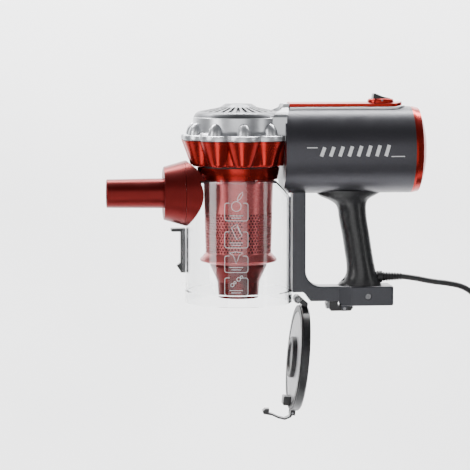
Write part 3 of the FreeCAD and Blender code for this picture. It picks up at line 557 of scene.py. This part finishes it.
# route of the lead and of its tail, in mm
LEAD = [
    (46.4, 0, -36.0), (61, 0, -37.9), (79, 0, -42.0), (97, 0.3, -44.0), (114, 3, -48.0), (128, 9, -58.0),
    (136, 18.5, -73.5), (139, 29, -92), (139.6, 39, -112),
]
TAIL = [(170.2, 41.8, -146), (169, 39.5, -161), (167, 36, -177), (166, 33.5, -192)]


def coil_turns():
    """(column, radius) of every turn: four turns inwards, then three outwards, column by column."""
    turns = []
    for column in range(COIL_COLUMNS):
        radii = INWARD_TURNS if column % 2 == 0 else OUTWARD_TURNS
        turns += [(column, r * MM) for r in radii]
    return turns


def coil_points():
    """Points of the tied coil. The lead moves to its next turn in one stretch near the top."""
    turns = coil_turns()
    points = []
    first_x = COIL.x - (COIL_COLUMNS - 1) / 2 * COIL_SPACE
    widen = 1 / math.cos(math.pi / TURN_POINTS)     # the curve runs inside its points
    for k, (column, radius) in enumerate(turns):
        next_column, next_radius = turns[min(k + 1, len(turns) - 1)]
        for i in range(TURN_POINTS):
            share = i / TURN_POINTS
            blend = min(max((share - SWAP_FROM) / (SWAP_TO - SWAP_FROM), 0.0), 1.0)
            blend = blend * blend * (3 - 2 * blend)
            r = (radius + (next_radius - radius) * blend) * widen
            x = first_x + (column + (next_column - column) * blend) * COIL_SPACE
            angle = TURN * share
            points.append((x, r * math.cos(angle), COIL.z - r * math.sin(angle)))
    return points


def in_metres(points):
    return [tuple(c * MM for c in p) for p in points]


def make_cord():
    """The whole mains lead as one curve: from the grip, through the tied coil, to the plug."""
    route = in_metres(LEAD) + coil_points() + in_metres(TAIL)
    curve = bpy.data.curves.new("mains_cord", "CURVE")
    curve.dimensions = "3D"
    spline = curve.splines.new("NURBS")
    spline.points.add(len(route) - 1)
    for point, place in zip(spline.points, route):
        point.co = (*place, 1.0)
    spline.order_u = 3
    spline.use_endpoint_u = True
    spline.resolution_u = 4
    curve.bevel_depth = CORD_D / 2
    curve.bevel_resolution = 4
    curve.use_fill_caps = True
    cord = bpy.data.objects.new("mains_cord", curve)
    bpy.context.scene.collection.objects.link(cord)
    curve.materials.append(MATERIALS["rubber_black"])
    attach(cord, "root")
    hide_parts("cord_lead", "cord_coil", "cord_tail")
    relief = make_strain_relief()
    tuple(route[0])


def lathe_x(name, profile, z, slot_name, body, count):
    """Piece turned about a level axis at height z, from closed (x, radius) corners in metres."""
    vertices = []
    for x, r in profile:
        for i in range(count):
            angle = TURN * i / count
            vertices.append(Vector((x, r * math.sin(angle), z + r * math.cos(angle))))
    faces = loops_to_faces(len(profile), count, closed_rows=True)
    return add_piece(name, vertices, faces, slot_name, body)


def make_strain_relief():
    """Tapered sleeve with rings cut into it."""
    low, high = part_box("cord_strain_relief")
    z = LEAD[0][2] * MM
    collar_r = 6.2 * MM
    bore = 3.05 * MM
    start, end = low.x + 5.4 * MM, high.x
    profile = [(low.x, collar_r), (start - 0.5 * MM, collar_r), (start, 5.7 * MM)]
    rings = 7
    pitch = (end - start) / rings
    for i in range(rings):
        x = start + i * pitch
        radius = (4.9 - 1.3 * i / rings) * MM
        groove = radius - 0.75 * MM
        profile += [
            (x + 0.1 * pitch, groove), (x + 0.3 * pitch, groove), (x + 0.4 * pitch, radius),
            (x + 0.9 * pitch, radius - 0.1 * MM), (x + pitch, groove),
        ]
    profile += [(end, bore), (low.x, bore)]
    relief = lathe_x("strain_relief", profile, z, "rubber_black", "root", 32)
    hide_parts("cord_strain_relief")
    return relief


# ---- printed marks ----
PRINT_LIFT = 0.12 * MM


def ribbon(name, strokes, width, place, slot_name, body):
    """Thin raised print along strokes, each a list of (across, up) points on a surface given by place()."""
    vertices = []
    faces = []
    for stroke in strokes:
        start = len(vertices)
        for k, (u, v) in enumerate(stroke):
            before = stroke[max(k - 1, 0)]
            after = stroke[min(k + 1, len(stroke) - 1)]
            du, dv = after[0] - before[0], after[1] - before[1]
            size = math.hypot(du, dv) or 1.0
            nu, nv = -dv / size * width / 2, du / size * width / 2
            for side, depth in ((1, 0.0), (1, PRINT_LIFT), (-1, PRINT_LIFT), (-1, 0.0)):
                vertices.append(place(u + side * nu, v + side * nv, depth))
        for k in range(len(stroke) - 1):
            a, b = start + 4 * k, start + 4 * k + 4
            for i in range(4):
                j = (i + 1) % 4
                faces.append((a + i, a + j, b + j, b + i))
        faces.append((start, start + 1, start + 2, start + 3))
        end = start + 4 * (len(stroke) - 1)
        faces.append((end, end + 1, end + 2, end + 3))
    return add_piece(name, vertices, faces, slot_name, body)


def on_bin(u, v, depth):
    """Place on the bin's near side: u round it from the middle, v its height."""
    return about_bin(BIN_SKIN + depth, u / BIN_SKIN, v)


def arc(cx, cy, r, start, end, count):
    """Stroke along a circle, between two angles in degrees."""
    angles = [math.radians(start + (end - start) * i / count) for i in range(count + 1)]
    return [(cx + r * math.cos(angle), cy + r * math.sin(angle)) for angle in angles]


def finer(points, step=2.0 * MM):
    """The same stroke with points added, so that it follows the round surface."""
    fine = [points[0]]
    for a, b in zip(points, points[1:]):
        pieces = max(1, int(math.hypot(b[0] - a[0], b[1] - a[1]) / step))
        for i in range(1, pieces + 1):
            fine.append((a[0] + (b[0] - a[0]) * i / pieces, a[1] + (b[1] - a[1]) * i / pieces))
    return fine


PRINT_MIDDLE = -7.6 * MM
PRINT_HALF = 12.0 * MM
PRINT_WIDTH = 0.6 * MM
PANELS = ((47.3, 29.2), (17.9, 1.4), (-7.0, -24.0), (-29.6, -47.8))     # top and foot of each panel, mm
CORNER = 2.2 * MM
# figures of the panels: corners of plain outlines, then middle and radius of round spots, in mm
FIGURES = (
    ((1, 49), (1.5, 53), (4, 57), (6.5, 59), (6.3, 55.5), (4.6, 52), (1.5, 50)),
    ((-5, 22), (0.5, 26), (6, 14), (0.5, 9.8), (-5, 22)),
    ((-2.4, 21), (1.0, 23.4), (4.0, 16.4)),
    ((-7, -4), (-3, -6.4), (0, -15), (3, -6.4), (7, -4), (0, -2.6), (-7, -4)),
)
SPOTS = ((-4, -37, 1.7), (-1.4, -34.4, 1.2), (2.4, -31, 1.9), (5.4, -28.6, 1.3))


def panel_outline(top, foot):
    """Outline with round corners, open in the middle of its top edge."""
    strokes = []
    gap = 7 * MM
    straight = PRINT_HALF - CORNER
    bend = [math.radians(t) for t in (0, 30, 60, 90)]
    for side in (-1, 1):
        edge = [(side * gap, top)]
        for t in bend:
            edge.append((side * (straight + CORNER * math.sin(t)), top - CORNER + CORNER * math.cos(t)))
        for t in bend:
            edge.append((side * (straight + CORNER * math.cos(t)), foot + CORNER - CORNER * math.sin(t)))
        edge.append((0.0, foot))
        strokes.append(finer(edge))
    return strokes


def make_bin_print():
    """Four plain outlined panels, one above the other, each with a simple shape and two short lines."""
    strokes = []
    for top, foot in PANELS:
        strokes += panel_outline(top * MM, foot * MM)
        for i, half in enumerate((7.0, 5.0)):
            level = (foot + 5.2 - 2.4 * i) * MM
            strokes.append(finer([(-half * MM, level), (half * MM, level)]))
    strokes.append(arc(0, 44 * MM, 5 * MM, 0, 360, 24))
    strokes += [[(x * MM, z * MM) for x, z in figure] for figure in FIGURES]
    strokes += [arc(x * MM, z * MM, r * MM, 0, 360, 14) for x, z, r in SPOTS]
    strokes = [[(u + PRINT_MIDDLE, v) for u, v in stroke] for stroke in strokes]
    ribbon("bin_print", strokes, PRINT_WIDTH, on_bin, "print_white", "dust_bin")


BARS = 8
BAR_WIDTH = 3.6 * MM
LINE_WIDTH = 0.9 * MM


def on_barrel(side):
    """Place on one flank of the barrel: u along it, v up round it from its middle height."""
    def place(u, v, depth):
        angle = v / BARREL_R
        r = BARREL_R + depth
        return Vector((u, -side * r * math.cos(angle), BARREL_AXIS + r * math.sin(angle)))
    return place


def make_barrel_print():
    """Slanted speed bars between two thin lines, on both flanks of the barrel."""
    lines = []
    for start, end, level in ((-61, -50, 4.4), (27, 41, -5.0)):
        lines.append(finer([(start * MM, level * MM), (end * MM, level * MM)], 4 * MM))
    bars = []
    for i in range(BARS):
        foot = ((-46 + 9.6 * i) * MM, -4.6 * MM)
        top = (foot[0] + 3.4 * MM, (4.8 + 0.3 * i) * MM)
        bars.append(finer([foot, top], 1.5 * MM))
    for side, name in ((1, "left"), (-1, "right")):
        ribbon("barrel_lines_" + name, lines, LINE_WIDTH, on_barrel(side), "print_white", "root")
        ribbon("barrel_bars_" + name, bars, BAR_WIDTH, on_barrel(side), "print_white", "root")


# ---- stage, light and camera ----
FLOOR_DROP = 1.1        # below the object
FLOOR_HALF = 6.0        # half width, and height of the wall
FLOOR_FRONT = -0.6
WALL_Y = 2.2
WALL_BEND = 1.2


def make_stage():
    """Pale floor that curves up into a wall behind."""
    floor_z = cad_box[0].z - FLOOR_DROP
    outline = [(FLOOR_FRONT, floor_z), (WALL_Y - WALL_BEND, floor_z)]
    for degrees in range(6, 91, 6):
        t = math.radians(degrees)
        outline.append((WALL_Y - WALL_BEND * (1 - math.sin(t)), floor_z + WALL_BEND * (1 - math.cos(t))))
    outline.append((WALL_Y, floor_z + FLOOR_HALF))
    vertices = []
    for y, z in outline:
        vertices += [(-FLOOR_HALF, y, z), (FLOOR_HALF, y, z)]
    faces = [(2 * i, 2 * i + 1, 2 * i + 3, 2 * i + 2) for i in range(len(outline) - 1)]
    mesh = bpy.data.meshes.new("floor")
    mesh.from_pydata(vertices, [], faces)
    mesh.shade_smooth()
    floor = bpy.data.objects.new("floor", mesh)
    bpy.context.scene.collection.objects.link(floor)
    material, nodes, links, principled, coords = shader("floor_paper")
    paper = noise(nodes, links, coords, 3.0, 2.0)
    shade = ramp(nodes, links, paper, (0.86, 0.86, 0.865), (0.9, 0.9, 0.905))
    links.new(shade, principled.inputs["Base Color"])
    principled.inputs["Roughness"].default_value = 0.9
    mesh.materials.append(material)


def softbox(name, place, aim, size, power):
    """White area lamp of the given size, turned towards aim."""
    light = bpy.data.lights.new(name, "AREA")
    light.shape = "RECTANGLE"
    light.size, light.size_y = size
    light.energy = power
    lamp = bpy.data.objects.new(name, light)
    bpy.context.scene.collection.objects.link(lamp)
    lamp.location = place
    lamp.rotation_euler = (Vector(aim) - Vector(place)).to_track_quat("-Z", "Y").to_euler()


def make_lights():
    """Dim room light and soft lamps: broad ones in front and from the nozzle's side, and one on the wall."""
    world = bpy.data.worlds.new("world")
    bpy.context.scene.world = world
    world.use_nodes = True
    background = world.node_tree.nodes["Background"]
    background.inputs["Color"].default_value = (0.94, 0.96, 1.0, 1)
    background.inputs["Strength"].default_value = 0.17
    aim = (-0.08, 0, 0.0)
    softbox("front_panel", (-0.5, -2.9, -0.3), aim, (2.2, 3.4), 38)
    softbox("low_front", (-0.7, -1.8, -1.6), aim, (0.8, 1.0), 10)
    softbox("key_left", (-1.9, -0.9, 0.45), aim, (0.6, 1.5), 22)
    softbox("fill_right", (1.6, -1.2, 0.2), aim, (0.3, 1.4), 5)
    softbox("top_back", (0.0, 0.7, 1.3), aim, (1.6, 0.4), 3)
    softbox("wall_wash", (0.0, 0.9, 1.7), (0.0, 2.2, -0.2), (3.6, 0.8), 330)


SENSOR = 36.0           # mm
VIEW_WIDTH = 0.4935     # metres seen across, at the object


def make_camera():
    """View from the near side and a little above, turned slightly towards the nozzle."""
    camera = bpy.data.cameras.new("camera")
    view = bpy.data.objects.new("camera", camera)
    bpy.context.scene.collection.objects.link(view)
    azimuth, elevation, distance = math.radians(-5.5), math.radians(5.4), 2.2
    aim = Vector((-0.131, 0.0, 0.0095))
    level = math.cos(elevation)
    back = Vector((math.sin(azimuth) * level, -math.cos(azimuth) * level, math.sin(elevation)))
    view.location = aim + back * distance
    view.rotation_mode = "QUATERNION"
    view.rotation_quaternion = (-back).to_track_quat("-Z", "Y")
    camera.lens = SENSOR * distance / VIEW_WIDTH
    camera.sensor_width = SENSOR
    camera.clip_end = 100
    bpy.context.scene.camera = view


make_camera()
make_cord()
dress_nodes()
make_cones()
make_crown()
make_filter_cap()
make_shroud()
make_bin_print()
make_barrel_print()
make_stage()
make_lights()
